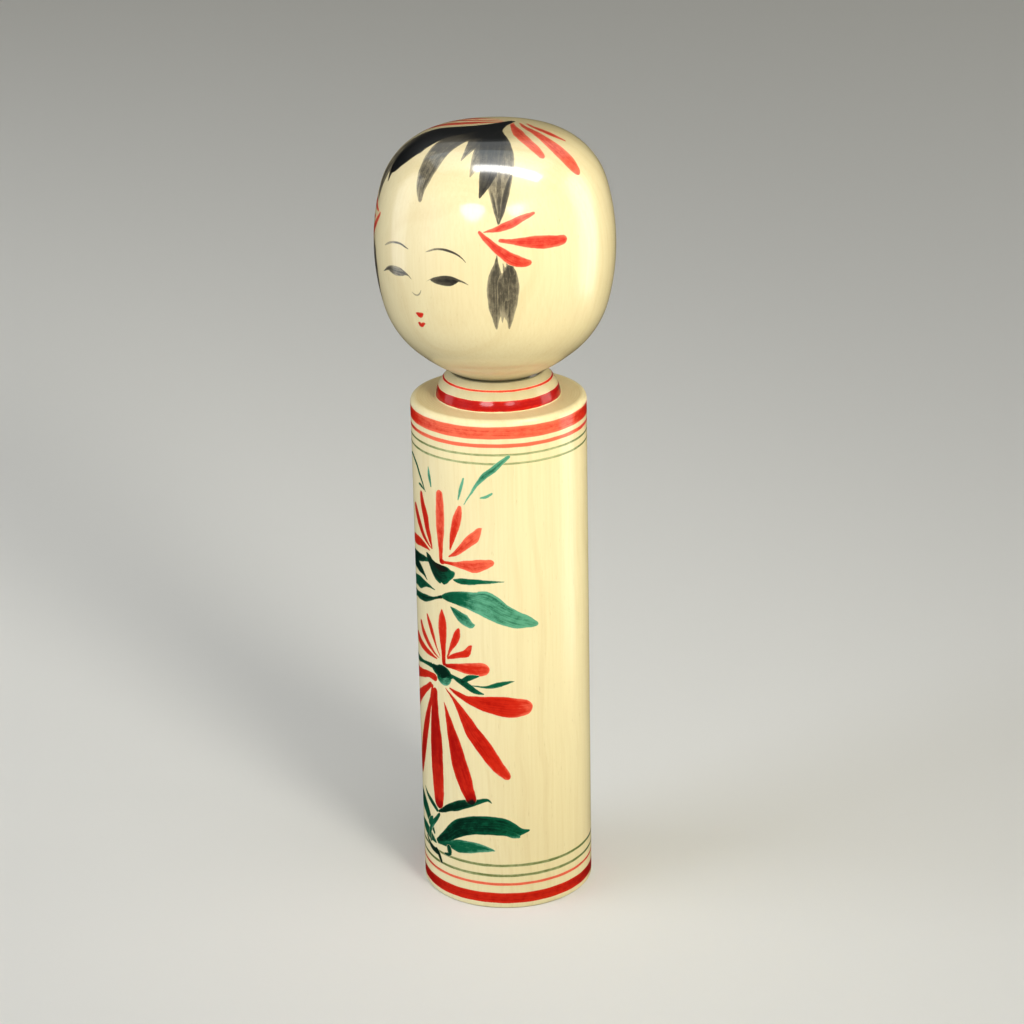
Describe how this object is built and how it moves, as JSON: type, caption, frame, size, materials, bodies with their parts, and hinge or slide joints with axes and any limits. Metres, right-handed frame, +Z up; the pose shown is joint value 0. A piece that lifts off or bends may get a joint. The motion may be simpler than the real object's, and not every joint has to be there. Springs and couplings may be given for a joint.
{
  "type": "kokeshi doll",
  "caption": "Turned wooden kokeshi doll with a barrel body, a rounded collar and a painted head that turns in a snap-in neck socket.",
  "frame": {"origin": "centre of the flat base that the doll stands on", "axes": "+Z up along the turning axis; the painted front of the body and the face look towards -Y"},
  "size_m": [0.0538, 0.0538, 0.1818],
  "materials": {
    "body_wood": "waxed, semi-gloss",
    "head_wood": "waxed and burnished, gloss",
    "red_dye": "brushed dye under wax, semi-gloss",
    "green_dye": "brushed dye under wax, semi-gloss",
    "black_ink": "brushed ink under wax, gloss"
  },
  "bodies": {
    "body": {"body": "body_wood"},
    "head": {"head": "head_wood"}
  },
  "joints": [
    {"name": "head_turn", "type": "hinge", "parent": "body", "child": "head", "pos_m": [0, 0, 0.1264], "axis": [0, 0, 1], "continuous": true}
  ]
}
